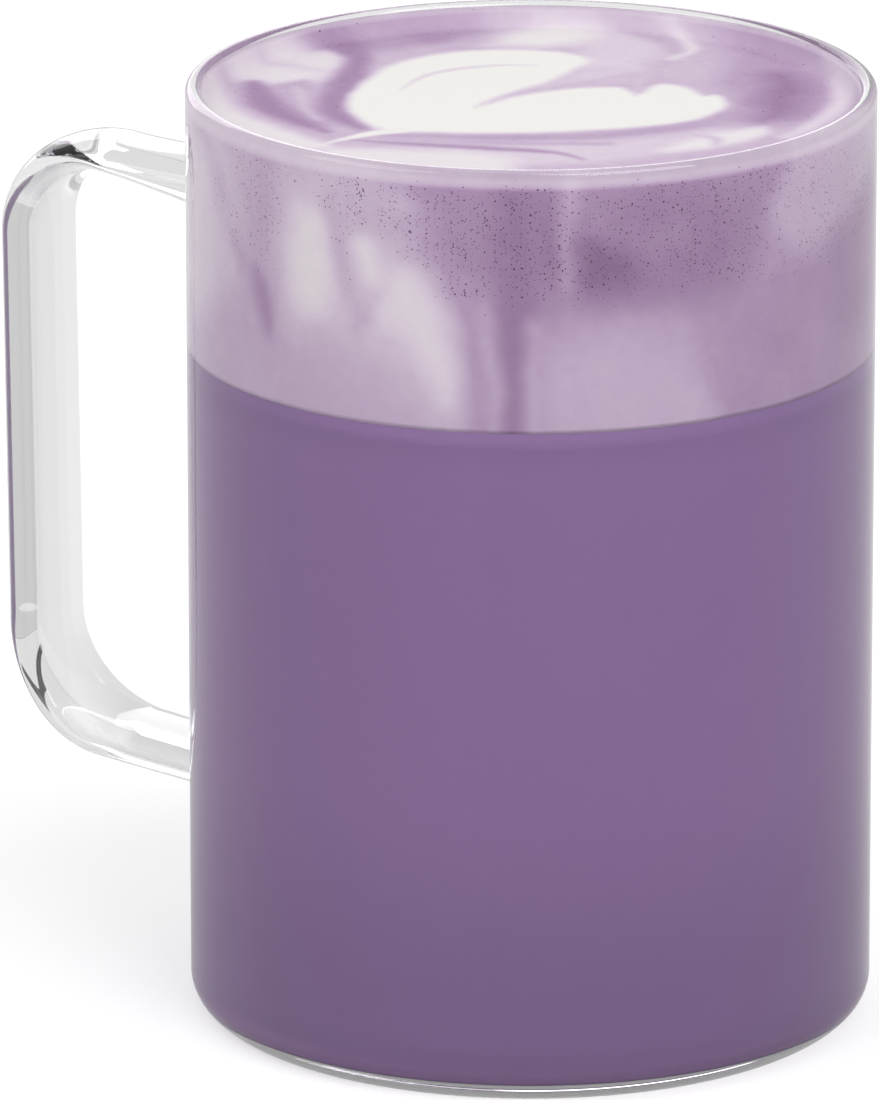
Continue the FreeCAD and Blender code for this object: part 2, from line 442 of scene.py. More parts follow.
def handle_stations():
    """Places along the handle's centre line: out, height, its heading, width, thickness."""
    corners = [np.array(corner[:2]) for corner in HANDLE_PATH]
    ends = [corners[0]]
    bends = []
    for before, corner, after, (_, _, size) in zip(
        corners, corners[1:], corners[2:], HANDLE_PATH[1:]
    ):
        back = (before - corner) / np.linalg.norm(before - corner)
        ahead = (after - corner) / np.linalg.norm(after - corner)
        half = math.acos(back @ ahead) / 2
        setback = size / math.tan(half)
        middle = back + ahead
        centre = corner + middle / np.linalg.norm(middle) * size / math.sin(half)
        ends += [corner + back * setback, corner + ahead * setback]
        bends.append((centre, size))
    ends.append(corners[-1])

    stations = []
    for piece, (start, end) in enumerate(zip(ends, ends[1:])):
        first, last = HANDLE_SECTIONS[piece], HANDLE_SECTIONS[piece + 1]
        length = np.linalg.norm(end - start)
        if piece in ROOTS:
            near = np.arange(0, ROOT_LENGTH, ROOT_STEP) / length
            far = np.linspace(ROOT_LENGTH / length, 1, ROOT_STATIONS)
            shares = np.concatenate([near, far])
            if piece == ROOTS[1]:
                shares = 1 - shares[::-1]
        else:
            shares = np.linspace(0, 1, GRIP_STATIONS if piece == GRIP else BEND_STATIONS)
        for share in shares[1 if stations else 0:]:
            if piece in BENDS:
                centre, size = bends[piece // 2]
                a0 = math.atan2(*(start - centre)[::-1])
                a1 = math.atan2(*(end - centre)[::-1])
                turn = (a1 - a0 + math.pi) % (2 * math.pi) - math.pi
                angle = a0 + share * turn
                place = centre + size * np.array([math.cos(angle), math.sin(angle)])
                heading = angle + math.copysign(math.pi / 2, turn)
            else:
                place = start + share * (end - start)
                heading = math.atan2(*(end - start)[::-1])
            blend = float(eased(share, 0, 1))
            width, thickness = (a + blend * (b - a) for a, b in zip(first, last))
            stations.append((place[0], place[1], heading, width, thickness))
    return stations


def handle_mesh(run_out, around=72):
    """The oval rod along the handle's path, its ends flared where they meet the wall."""
    wall = MUG_HIGH.x / MM
    flare = run_out / MM
    points, faces = [], []
    for out, height, heading, width, thickness in handle_stations():
        ahead = np.array([math.cos(heading), math.sin(heading)])
        side = np.array([-ahead[1], ahead[0]])
        for k in range(around):
            a = 2 * math.pi * k / around
            across, through = width / 2 * math.cos(a), thickness / 2 * math.sin(a)
            face = np.array([math.cos(a) / width, math.sin(a) / thickness])
            face /= np.linalg.norm(face)
            gap = math.hypot(out + side[0] * through, across) - wall + BITE
            spare = 1 - min(max(gap / flare, 0), 1)
            grown = flare * (1 - math.sqrt(1 - min(spare, STEEPEST) ** 2))
            across += face[0] * grown
            through += face[1] * grown
            points.append((
                -(out + side[0] * through) * MM, across * MM, (height + side[1] * through) * MM,
            ))
    count = len(points) // around
    for ring in range(count - 1):
        for k in range(around):
            a, b = ring * around + k, ring * around + (k + 1) % around
            faces.append((a, b, b + around, a + around))
    faces.append(tuple(range(around)))
    faces.append(tuple(reversed(range((count - 1) * around, count * around))))
    mesh = bpy.data.meshes.new("handle")
    mesh.from_pydata(points, [], faces)
    shape = bmesh.new()
    shape.from_mesh(mesh)
    bmesh.ops.recalc_face_normals(shape, faces=shape.faces)
    shape.to_mesh(mesh)
    shape.free()
    mesh.polygons.foreach_set("use_smooth", [True] * len(faces))
    mesh.update()
    return mesh


def joined(first, second, name):
    """Both closed meshes as one, with what lies inside the other taken away."""
    holders = [new_object(name, mesh) for mesh in (first, second)]
    union = holders[0].modifiers.new("union", "BOOLEAN")
    union.operation, union.object, union.solver = "UNION", holders[1], "EXACT"
    evaluated = holders[0].evaluated_get(bpy.context.evaluated_depsgraph_get())
    mesh = bpy.data.meshes.new_from_object(evaluated)
    for holder in holders:
        bpy.data.objects.remove(holder)
    return mesh


def face_as_formed(mesh, outline, handle):
    """Give each vertex the true direction of the turned wall or the handle's skin."""
    points = coordinates(mesh)
    places = np.stack([np.hypot(points[:, 0], points[:, 1]), points[:, 2]], 1)
    nearest = np.full(len(points), np.inf)
    lean = np.zeros(len(points))
    for (r0, z0, a0), (r1, z1, a1) in zip(outline, outline[1:]):
        start, along = np.array([r0, z0]), np.array([r1 - r0, z1 - z0])
        share = np.clip((places - start) @ along / (along @ along), 0, 1)
        gap = np.linalg.norm(places - start - share[:, None] * along, axis=1)
        closer = gap < nearest
        turn = (a1 - a0 + 180) % 360 - 180
        nearest = np.where(closer, gap, nearest)
        lean = np.where(closer, a0 + share * turn, lean)
    lean = np.radians(lean)
    outward = points[:, :2] / np.maximum(places[:, :1], 1e-9)
    normals = np.column_stack([outward * np.cos(lean)[:, None], np.sin(lean)])

    skin = KDTree(len(handle.vertices))
    for index, vertex in enumerate(handle.vertices):
        skin.insert(vertex.co, index)
    skin.balance()
    for index in np.nonzero(nearest > WALL_REACH)[0]:
        _, found, _ = skin.find(points[index])
        normals[index] = handle.vertices[found].normal
    mesh.polygons.foreach_set("use_smooth", [True] * len(mesh.polygons))
    mesh.normals_split_custom_set_from_vertices(normals.tolist())


# ---------------------------------------------------------------- marbling


def eased(value, low, high):
    """0 below low, 1 above high and an even S-curve between."""
    t = np.clip((value - low) / (high - low), 0, 1)
    return t * t * (3 - 2 * t)


# Cells along each side of the block of random values that repeats in space.
LATTICE = 32


def drift(points, scale, seed):
    """Soft random values between -1 and 1, alike over about one scale."""
    lattice = np.random.default_rng(seed).uniform(-1, 1, (LATTICE,) * 3)
    places = points / scale
    cell = np.floor(places).astype(int)
    share = eased(places - cell, 0, 1)
    total = np.zeros(len(points))
    for dx in (0, 1):
        for dy in (0, 1):
            for dz in (0, 1):
                corner = lattice[tuple(((cell + (dx, dy, dz)) % LATTICE).T)]
                total += corner * np.abs(1 - np.array((dx, dy, dz)) - share).prod(1)
    return total


def drifts(points, layers):
    """Drifts of several sizes, each with its seed and its amount, added together."""
    return sum(drift(points, scale, seed) * amount for scale, seed, amount in layers)


def smooth_line(points, steps=8):
    """Points along a Catmull-Rom line through the given ones."""
    points = np.array(points, float)
    if len(points) < 3:
        return points
    padded = np.vstack([2 * points[0] - points[1], points, 2 * points[-1] - points[-2]])
    line = []
    for a, b, c, d in zip(padded, padded[1:], padded[2:], padded[3:]):
        for t in np.arange(steps) / steps:
            line.append(
                0.5 * (2 * b + (c - a) * t + (2 * a - 5 * b + 4 * c - d) * t * t
                       + (3 * b - a - 3 * c + d) * t ** 3)
            )
    return np.array(line + [points[-1]])


def gap_to_line(places, line):
    """Distance from each place to a line, and the line's own half width there."""
    nearest = np.full(len(places), np.inf)
    half = np.zeros(len(places))
    for start, end in zip(line, line[1:]):
        along = end[:2] - start[:2]
        share = np.clip((places - start[:2]) @ along / max(along @ along, 1e-9), 0, 1)
        gap = np.linalg.norm(places - start[:2] - share[:, None] * along, axis=1)
        width = start[2] + share * (end[2] - start[2]) if len(start) > 2 else 0.0
        half = np.where(gap - width < nearest - half, width, half)
        nearest = np.where(gap - width < nearest - half, gap, nearest)
    return nearest, half


def drawn(places, line, softness):
    """How fully a stroke of varying half width covers each place."""
    nearest, half = gap_to_line(places, smooth_line(line))
    return 1 - eased(nearest - half, -softness / 2, softness / 2)


def filled(places, outline, softness):
    """How fully a closed, rounded patch covers each place."""
    line = smooth_line(outline + outline[:1], 5)
    nearest, _ = gap_to_line(places, line)
    inside = np.zeros(len(places), bool)
    for (x0, y0), (x1, y1) in zip(line, line[1:]):
        spans = (y0 > places[:, 1]) != (y1 > places[:, 1])
        rise = y1 - y0 if abs(y1 - y0) > 1e-9 else 1e-9
        inside ^= spans & (places[:, 0] < x0 + (places[:, 1] - y0) * (x1 - x0) / rise)
    return 1 - eased(np.where(inside, -nearest, nearest), -softness / 2, softness / 2)


# Millimetres left free round a pour, beyond where its soft edge ends.
POUR_MARGIN = 1.5


def pour(places, tone, pours):
    """Lay each pour of foam over the tone below it. A pour is its tone, the softness
    of its edge and its points: two numbers each for a patch, three for a stroke."""
    tone = tone.copy()
    for pour_tone, softness, points in pours:
        spread = np.array(points)
        reach = softness / 2 + (spread[:, 2].max() if spread.shape[1] == 3 else 0)
        reach += POUR_MARGIN
        low, high = spread[:, :2].min(0) - reach, spread[:, :2].max(0) + reach
        near = ((places > low) & (places < high)).all(1)
        cover = drawn if spread.shape[1] == 3 else filled
        tone[near] += (pour_tone - tone[near]) * cover(places[near], points, softness)
    return tone


# Tones run from 0, milk, to 1, plum. Down the side a point is degrees round from the
# front, millimetres below the foam's flat top and, for a stroke, half its width.
SIDE_TONE = 0.46
SIDE_POURS = [
    # veils near the bottom and at both sides
    (0.50, 10, [(-66, 19), (-50, 17), (-38, 22), (-34, 31), (-66, 31)]),
    (0.27, 8, [(-95, 0), (-72, 3), (-66, 8), (-65, 15), (-70, 20), (-95, 22)]),
    (0.37, 6, [(-66, -3, 2), (-62, 5, 2), (-62, 14, 1.5)]),
    (0.66, 9, [(32, 15), (44, 10), (52, 10), (66, 9), (95, 6), (95, 32), (40, 32), (31, 24)]),
    (0.76, 9, [(62, 11), (95, 8), (95, 24), (64, 22)]),
    (0.46, 5, [(46, -4), (45.5, 2), (47, 6), (51, 9), (56, 8.5), (62, 6), (70, 4), (95, 1),
               (95, -4)]),
    (0.46, 7, [(2, 20), (10, 18), (20, 18), (26, 20), (29, 25), (29, 32), (1, 32)]),
    # the violet cap that hangs from the top
    (0.62, 9, [(-28, -5), (-24, 2), (-20, 7), (-15, 12), (-11, 15), (-4, 14), (2, 18),
               (10, 17), (20, 17), (30, 18), (36, 18), (42, 12), (44, 4), (46, -5)]),
    (0.73, 5, [(-22, -4), (-18, 1), (-15.5, 6), (-13, 10), (-10, 11.5), (-7, 11.5), (-6, 16),
               (-4, 20), (-1.5, 20), (0.5, 17), (4, 14.5), (9, 14.5), (16, 14.5), (25, 14.5),
               (33, 15.5), (39, 14), (42.5, 9), (43.5, 4), (45, -4)]),
    (0.45, 4, [(-58, 0.5, 2), (-40, 1, 1.5), (-24, 1.5, 2)]),
    (0.87, 5, [(-4, -2, 2), (-3, 4, 2.4), (-3, 9, 2.4), (-2.5, 14, 1.4)]),
    (0.84, 4, [(1, -2, 1.8), (2.5, 4, 1.4), (3, 10, 1.2)]),
    (0.82, 6, [(18, 3, 2), (27, 2, 2.6), (33, 8, 3), (24, 10.5, 3), (14, 11.5, 2)]),
    (0.97, 5, [(8, 6.5), (11, 5.5), (16, 7.5), (17.5, 10.5), (13, 12.5), (9, 11.5)]),
    (0.56, 2.4, [(7.6, -3, 1.1), (6.8, 2, 1.0), (5.9, 6, 0.6), (5.7, 12, 0.5)]),
    # two stems that sink to the drink
    (0.63, 3, [(-12.5, 11, 1.2), (-11.4, 15, 0.9), (-10, 19, 1.1), (-9.2, 23, 1.5),
               (-9, 30, 1.6)]),
    (0.84, 3, [(-3.6, 14, 2.0), (-3.2, 19, 1.6), (-3.0, 24, 1.3), (-3.2, 31, 1.3)]),
    (0.55, 3, [(0.5, 17, 1.2), (1.5, 22, 0.8), (2, 28, 0.5)]),
    # left wisp
    (0.47, 5, [(-66, 4, 0.8), (-62, 8, 1.2), (-58, 12, 1.2)]),
    (0.53, 5, [(-52, -2, 2), (-51, 4, 2), (-51.5, 10, 2.2), (-51, 15, 2)]),
    (0.57, 4, [(-60, 11, 0.6), (-56.5, 13.5, 1.4), (-52.5, 16.5, 1.4)]),
    (0.55, 3, [(-46.5, 13.5, 0.3), (-48, 16.5, 0.8), (-49.6, 19, 0.5)]),
    (0.72, 3.5, [(-53, 13.5, 0.5), (-50.8, 17, 1.5), (-49.8, 20.4, 0.5)]),
    # pale windows and the wisp between them
    (0.34, 7, [(-46, 3), (-36, 2), (-33, 10), (-27, 6), (-20, 10), (-15, 16), (-12.5, 24),
               (-14, 28), (-24, 21), (-34, 19), (-44, 19), (-47, 12)]),
    (0.13, 4.5, [(-42, 4.5), (-37, 5), (-35.4, 10), (-36, 15.5), (-40, 17), (-44, 14),
                 (-44.4, 9)]),
    (0.46, 3, [(-34.8, 2, 1.4), (-33.4, 8, 0.8), (-32, 13, 0.9), (-30, 16, 1.1)]),
    (0.50, 2.6, [(-24.5, 12, 0.3), (-27.5, 15, 0.8), (-30, 18, 0.5)]),
    (0.15, 2.8, [(-29, 8, 1.4), (-27.6, 11, 1.2)]),
    (0.17, 4.5, [(-24, 10), (-20, 10.5), (-17, 13.5), (-14.5, 17), (-12.8, 22), (-14.5, 25.5),
                 (-18, 21), (-22, 17.5), (-25, 17), (-26.5, 14.5)]),
]
# On top a point is millimetres to the right, away and, for a stroke, half its width.
TOP_TONE = 0.42
TOP_POURS = [
    # pale haze round the left edge
    (0.15, 6, [(-41, 21), (-36, 26.5), (-28, 26.5), (-22.5, 25.5), (-21.5, 22), (-24, 15),
               (-27, 10), (-32, 11), (-37, 13), (-41, 8)]),
    (0.32, 4, [(-37, 21, 0.6), (-31, 20, 0.8), (-26, 17, 0.3)]),
    (0.12, 3, [(-41, 14), (-37.5, 10), (-36, 2), (-33.5, -5), (-28.5, -12), (-24, -19),
               (-41, -20)]),
    # mauve along the back
    (0.58, 5, [(-36, 27), (-30, 33), (-22, 41), (-8, 41), (-6, 36), (-10, 31), (-16, 27),
               (-20, 24), (-24, 27), (-30, 27)]),
    (0.76, 4, [(-33, 28, 1.2), (-27.5, 30, 2.2), (-22.5, 29, 2.0), (-21.5, 25, 1.2)]),
    (0.64, 4, [(-13, 34, 2), (-12, 32, 2)]),
    # hook and wisp on the left
    (0.52, 3, [(-30, 10), (-26.5, 12), (-26, 4), (-25.5, -2), (-23, -9), (-26, -9),
               (-28.5, -3), (-29.5, 4)]),
    (0.36, 2, [(-27.8, 9, 0.4), (-27.2, 2, 0.7), (-25.4, -6, 0.4)]),
    (0.74, 3, [(-22, 27, 1.2), (-20.6, 22, 1.4), (-21.8, 14, 1.8), (-23.4, 5, 1.9),
               (-23.4, -1, 1.7), (-21.8, -6.5, 1.3), (-19.8, -10, 0.6)]),
    (0.75, 3, [(-32.8, 11, 1.0), (-32.3, 5, 2.0), (-30.8, -1, 2.0), (-28, -6.5, 1.4),
               (-24.5, -11.5, 0.5)]),
    # mauve on the right, deepest beside the heart's tip
    (0.57, 6, [(20, 42), (24, 30), (24, 20), (22, 12), (24, 2), (20, -8), (27, -7), (33, -9),
               (37, 0), (36, 12), (38, 22), (36, 34)]),
    (0.65, 5, [(22, 37, 2), (28, 30, 3), (33, 22, 2.5)]),
    (0.84, 7, [(29.5, 14.5, 1.5), (31, 9, 2.4), (29.5, 3, 2.8), (29.5, -2, 2.0),
               (27, -6.5, 0.8)]),
    (0.22, 2.5, [(35.5, 17, 0.3), (37.5, 9, 1.2), (36.5, 0, 1.2), (33, -9, 1.0),
                 (30, -14, 0.8)]),
    (0.40, 6, [(8, 22), (14, 24), (20, 20), (21, 12), (14, 13), (8, 14)]),
    # milk behind the heart and its curl
    (0.27, 6, [(1, 36), (9, 37), (15, 31), (16, 24), (11, 19), (7, 22), (5, 29)]),
    (0.08, 6, [(-5, 29), (-3, 35), (2, 38.5), (7, 37), (7, 32), (2, 28)]),
    (0.20, 4, [(6, 22, 1.5), (9, 19, 1.5), (12, 18, 1.0)]),
    (0.46, 3, [(9, 38, 0.6), (13.5, 34, 1.0), (16.6, 30, 0.9), (17.4, 26, 0.5)]),
    (0.14, 2.2, [(15, 36.5, 0.3), (18, 33, 0.7), (19.6, 29, 0.8), (19.2, 25.5, 0.6),
                 (17, 22.5, 0.3)]),
    # crescents in front
    (0.28, 4, [(-18, -15.5), (-8, -15.5), (4, -16), (14, -14.5), (22, -10.5), (26, -16),
               (14, -23), (2, -27), (-6, -24)]),
    (0.12, 4.5, [(-24, -18.5), (-16, -19.5), (-8, -21), (-3, -22.8), (-1.5, -26), (-4, -31),
                 (-16, -34), (-26, -27)]),
    (0.10, 3, [(27.5, -9.5), (28, -12.5), (25, -16), (20, -19.5), (15, -21), (17, -17.5),
               (21, -13.5), (25, -10.5)]),
    (0.36, 2, [(19.8, -13.4, 0.3), (22, -15, 0.7), (21.8, -18, 0.3)]),
    (0.46, 1.6, [(-18, -14.6, 0.3), (-9, -16.2, 0.9), (1, -17, 0.9), (9, -17, 0.8)]),
    (0.63, 1.6, [(-21, -15.2, 0.2), (-14, -17.3, 0.8), (-7, -18.7, 0.9), (-0.5, -20, 0.8),
                 (3.5, -21.8, 0.5), (5.8, -24.5, 0.15)]),
    (0.54, 2, [(22.6, -4.5, 1.2), (19.5, -8.8, 1.4), (14, -11.6, 1.3), (6.5, -13.8, 1.2),
               (-2.5, -14.4, 1.1), (-11, -13.9, 0.8), (-17.5, -13.2, 0.3)]),
    # the poured heart: back lobe, front petal and tail
    (0.30, 4, [(-1, 7), (3, 9), (8, 10.5), (13, 13), (13, 18), (8, 20), (4, 16)]),
    (0.00, 2.2, [(-18.3, -9.5), (-20.4, -5), (-21.6, 1), (-21.2, 7), (-19.4, 13.3),
                 (-16.7, 19.2), (-13.3, 23), (-9.2, 25.5), (-4.2, 26.8), (0.8, 26.5),
                 (4.6, 25.2), (6.9, 22.6), (6.7, 20), (5.2, 17.2), (3.4, 14.2), (1.4, 11),
                 (-1, 8), (-3.4, 4.8), (-5.5, 1.5), (-8, -5), (-12, -10)]),
    (0.38, 1.4, [(-7, -1.5, 0.1), (-4.8, 2, 0.25), (-2.2, 5.4, 0.4), (1.5, 8.4, 0.6),
                 (5, 10.3, 0.8), (9, 12.3, 1.3), (12.5, 15, 1.6)]),
    (0.00, 2.0, [(-18, -10), (-10, -4), (-5, 1), (-2.2, 4.2), (1.3, 6.8), (5, 8.2),
                 (8.5, 9), (10.8, 8.6), (12.2, 6.4), (13.4, 6.2), (14.2, 9), (15.6, 10.5),
                 (17.6, 9.6), (19.3, 7.4), (20.6, 5), (22, 5.6), (23.1, 2.8), (22.9, 0),
                 (22, -2.6), (20, -5.4), (17.5, -7.5), (14.2, -9.2), (10, -10.5),
                 (5, -11.5), (-0.8, -12.2), (-6.7, -12.2), (-12, -11.8), (-16, -11.2)]),
    (0.34, 1.6, [(13, 12, 0.6), (12.8, 8.5, 0.45), (12.4, 5, 0.15)]),
    (0.23, 1, [(-15.4, 7, 0.1), (-14, 11.5, 0.35), (-11.5, 15.5, 0.5), (-8, 18, 0.55),
               (-4, 19.3, 0.4), (1, 19.6, 0.1)]),
    (0.02, 1, [(-15, -10.8, 1.2), (-19, -12.6, 0.9), (-22, -15, 0.5), (-24.5, -17.5, 0.1)]),
]


def far_side_pours(seed):
    """Caps, wisps and pale windows for the side that faces away, in the same hand."""
    pick = np.random.default_rng(seed)
    pours = []
    for angle in (118, 176, 232):
        low = pick.uniform(10, 15)
        pours.append((0.70, 5, [
            (angle - 24, -4), (angle - 19, 4), (angle - 12, low), (angle, low - 3),
            (angle + 13, low + 2), (angle + 21, 5), (angle + 25, -4),
        ]))
    for angle in np.arange(96, 264, 15.0):
        angle += pick.uniform(-4, 4)
        tip = pick.uniform(13, 26)
        lean = pick.uniform(-4, 4)
        wide = pick.uniform(1.0, 2.2)
        pours.append((pick.uniform(0.55, 0.7), 4.0, [
            (angle, 2, wide), (angle + lean * 0.6, tip * 0.55, wide * 0.7),
            (angle + lean, tip, 0.4),
        ]))
        pours.append((pick.uniform(0.18, 0.34), 4.5, [
            (angle + 6, tip * 0.5, 0.5), (angle + 7.5, tip * 0.8, pick.uniform(1, 2.2)),
        ]))
    return pours


# How the poured lines sway, as drifts: size in millimetres, seed and amount.
SIDE_SWAY, SIDE_SAG = ((9, 1, 0.5), (3.1, 2, 0.3)), ((10, 3, 0.6), (3.7, 4, 0.35))
TOP_SWAYS = ((8, 6, 0.45), (2.6, 7, 0.2)), ((9, 8, 0.45), (2.9, 9, 0.2))
SMOKE, SMOKE_AMOUNT = ((6, 11, 0.5), (2.2, 12, 0.35), (1.1, 13, 0.25)), 0.05
# The film that clings to the glass, and the top's edge beside it: tone and amount.
FILM_TONE, FILM_AMOUNT = 0.2, 0.7
EDGE_TONE, EDGE_AMOUNT = 0.28, 0.3
# Where that edge lies, in millimetres from the mug's axis.
EDGE_RADII = (36.9, 38.6)
# A point is on the top if it lies no deeper than this below the flat middle and within
# this share of the wall's radius.
TOP_DEPTH, TOP_SHARE = 0.3 * MM, 0.995
# Degrees round from the front where the far side's angles give way to negative ones.
SEAM = 264


def marbling_tones(points, wall_radius, top, seed):
    """The foam's tone at each point in metres, and how bubbly it is."""
    right = points[:, 0] * math.cos(FRONT) + points[:, 1] * math.sin(FRONT)
    away = points[:, 1] * math.cos(FRONT) - points[:, 0] * math.sin(FRONT)
    radius = np.hypot(right, away)
    angle = np.degrees(np.arctan2(right, -away)) % 360
    angle = np.where(angle > SEAM, angle - 360, angle)
    depth = (top - points[:, 2]) / MM
    here = points / MM

    degree = math.radians(1) * wall_radius / MM
    unrolled = np.stack([
        angle * degree + drifts(here, SIDE_SWAY), depth + drifts(here, SIDE_SAG),
    ], 1)
    scaled = [
        (tone, softness, [(point[0] * degree, *point[1:]) for point in line])
        for tone, softness, line in SIDE_POURS + far_side_pours(seed)
    ]
    side = pour(unrolled, np.full(len(points), SIDE_TONE), scaled)
    film = 1 - eased(depth, -1.0, -0.2)
    side += (FILM_TONE - side) * film * FILM_AMOUNT

    flat = np.stack([right, away], 1) / MM
    for axis, sway in enumerate(TOP_SWAYS):
        flat[:, axis] += drifts(here, sway)
    above = pour(flat, np.full(len(points), TOP_TONE), TOP_POURS)
    edge = eased(radius / MM, *EDGE_RADII)
    above += (EDGE_TONE - above) * edge * EDGE_AMOUNT
    # painted shade: all but the palest milk on top is a shade darker, to hold back the extra
    # light that falls on the top
    above += eased(above, 0.05, 0.2) * 0.02

    is_top = (points[:, 2] > top - TOP_DEPTH) & (radius < wall_radius * TOP_SHARE)
    tones = np.where(is_top, above, side)
    tones += drifts(here, SMOKE) * SMOKE_AMOUNT * eased(tones, 0.05, 0.3)

    # bubbles show in the violet parts, high up and more to the left
    high = 1 - eased(depth, 8, 15)
    patches = eased(drift(here, 7, 14), -0.6, 0.6) * 0.6 + 0.4
    left = 1 - eased(angle, -2, 12) * 0.45
    bubbles = eased(tones, 0.34, 0.62) * high * patches * np.where(is_top, 0.3, left * 2.7)
    on_side = eased(radius, wall_radius * 0.9, wall_radius * 0.93)
    bubbles *= eased(depth, -0.6, 0.4) * on_side * 0.75 + 0.25
    return np.clip(tones, 0, 1), bubbles


# ---------------------------------------------------------------- materials


def new_material(name):
    """A material without nodes yet, and its steps."""
    material = bpy.data.materials.new(name)
    material.use_nodes = True
    material.node_tree.nodes.clear()
    return material, Steps(material.node_tree)


# Open bubbles in two sizes: spacing, widest half width as a share of the spacing, and how dark
# they are. Then the colour of a pit, painted shade in the open bubble that is darker than the
# drink, and how soft its edge is.
BUBBLES = ((0.5 * MM, 0.27, 1.0), (0.3 * MM, 0.34, 0.9))
PIT_SHADE_COLOUR = (0.16, 0.09, 0.18, 1)
PIT_EDGE = 0.06
# The foam's fine grain: scale per metre, how much it shifts the tone, and its height.
GRAIN_SCALE, GRAIN_TONE, GRAIN_HEIGHT = 900, 0.04, 0.05 * MM


def bubble_group():
    """Tiny bubbles cut open at the surface, as a mask."""
    group, steps, given = new_group("fine_bubbles", "ShaderNodeTree", (
        ("Spacing", "Float", 0.6 * MM), ("Size", "Float", 0.2), ("Share", "Float", 0.5),
    ), ("Mask", "Float"))
    cells = steps.add("ShaderNodeTexVoronoi", {
        "Vector": steps.add("ShaderNodeTexCoord").outputs["Object"],
        "Scale": steps.math("DIVIDE", 1.0, given["Spacing"]),
    }).outputs
    pick = steps.add("ShaderNodeSeparateColor", {0: cells["Color"]}).outputs
    size = steps.math("MULTIPLY", pick["Green"], given["Size"])
    crisp = steps.add("ShaderNodeMapRange", {
        "Value": steps.math("SUBTRACT", size, cells["Distance"]), "From Max": PIT_EDGE,
    }, interpolation_type="SMOOTHSTEP").outputs[0]
    chosen = steps.math("LESS_THAN", pick["Red"], given["Share"])
    steps.add("NodeGroupOutput", {"Mask": steps.math("MULTIPLY", crisp, chosen)})
    return group


def foam_material(settings, bubbles):
    """Milk foam: marbled colour from the piece's own tones, fine grain, and open bubbles
    darkened with painted shade.
    """
    material, steps = new_material("marbled_foam")
    tone, share = (
        steps.add("ShaderNodeAttribute", attribute_name=name).outputs["Fac"]
        for name in ("marbling", "bubbles")
    )
    where = steps.add("ShaderNodeTexCoord").outputs["Object"]
    grain = steps.add("ShaderNodeTexNoise", {
        "Vector": where, "Scale": GRAIN_SCALE, "Detail": 4,
    }).outputs[0]
    mottle = steps.add("ShaderNodeMapRange", {
        "Value": grain, "To Min": -GRAIN_TONE, "To Max": GRAIN_TONE,
    }).outputs[0]
    colour = steps.ramp(steps.math("ADD", tone, mottle), (
        (0.0, settings.milk), (0.28, settings.lilac), (0.47, settings.lavender),
        (0.65, settings.mauve), (0.84, settings.violet), (1.0, settings.plum),
    ))
    for spacing, size, pit_shade in BUBBLES:
        pits = steps.add("ShaderNodeGroup", {
            "Spacing": spacing, "Size": size, "Share": share,
        }, node_tree=bubbles)
        # each open bubble's pit is darkened: painted shade
        amount = steps.math("MULTIPLY", pits.outputs["Mask"], pit_shade)
        colour = steps.mix(amount, colour, PIT_SHADE_COLOUR, "MULTIPLY")
    relief = steps.add("ShaderNodeBump", {
        "Height": grain, "Distance": GRAIN_HEIGHT, "Strength": 0.5,
    })
    steps.surface(steps.add("ShaderNodeBsdfPrincipled", {
        "Base Color": colour, "Normal": relief.outputs[0], "Roughness": 0.8,
        "Specular IOR Level": 0.06,
    }))
    return material


# How bright the drink is at heights above its floor, in millimetres, and the height over which
# its ramp is spread. This is painted shade and light: a dark line at its very foot, a paler
# band just above it, darker low down where less light reaches, and darker again just under the
# foam.
DRINK_PAINTED_SHADE = [
    (0.1, 0.2), (0.35, 1.1), (1.1, 1.05), (2.2, 0.86), (3.3, 0.79), (5.0, 0.83), (12, 0.84),
    (21, 0.9), (33, 0.99), (75, 1.0), (80.5, 0.86),
]
DRINK_SPAN = 100
# Its upright streaks, partly tone that differs at random and partly a painted soft sheen: scale
# per metre, how far they are drawn out upwards, and their strength.
SHEEN_STREAK_SCALE, SHEEN_STREAK_STRETCH, SHEEN_STREAK_AMOUNT = 28, 0.14, 0.06


def drink_material(settings):
    """Opaque milky latte: faint upright streaks, partly a painted soft sheen, and painted shade
    and light by height.
    """
    material, steps = new_material("ube_latte")
    where = steps.add("ShaderNodeTexCoord").outputs["Object"]
    stretched = steps.add("ShaderNodeMapping", {
        "Vector": where, "Scale": (1, 1, SHEEN_STREAK_STRETCH),
    })
    # streaks of paler and darker tone, partly a painted soft sheen
    sheen_streaks = steps.add("ShaderNodeTexNoise", {
        "Vector": stretched.outputs[0], "Scale": SHEEN_STREAK_SCALE, "Detail": 3,
    })
    darker, paler = (
        (*(Vector(settings.colour) * share), 1)
        for share in (1 - SHEEN_STREAK_AMOUNT, 1 + SHEEN_STREAK_AMOUNT)
    )
    tint = steps.mix(sheen_streaks.outputs[0], darker, paler)
    level = steps.add("ShaderNodeMapRange", {
        "Value": steps.add("ShaderNodeSeparateXYZ", {0: where}).outputs["Z"],
        "From Min": DRINK_LOW.z, "From Max": DRINK_LOW.z + DRINK_SPAN * MM,
    })
    # painted shade and light by height, laid over the drink's colour
    painted_shade = steps.ramp(level.outputs[0], [
        (up / DRINK_SPAN, (share ** 1.1, share, share ** 0.9)) for up, share in DRINK_PAINTED_SHADE
    ])
    steps.surface(steps.add("ShaderNodeBsdfPrincipled", {
        "Base Color": steps.mix(1.0, tint, painted_shade, "MULTIPLY"), "Roughness": 0.5,
        "Specular IOR Level": 0.0,
    }))
    return material


# How clear the glass is to what is seen through it, and to the lamps' light.
GLASS_TINT = (0.93, 0.93, 0.93, 1)
LAMPLIGHT_TINT = (0.96, 0.96, 0.96, 1)


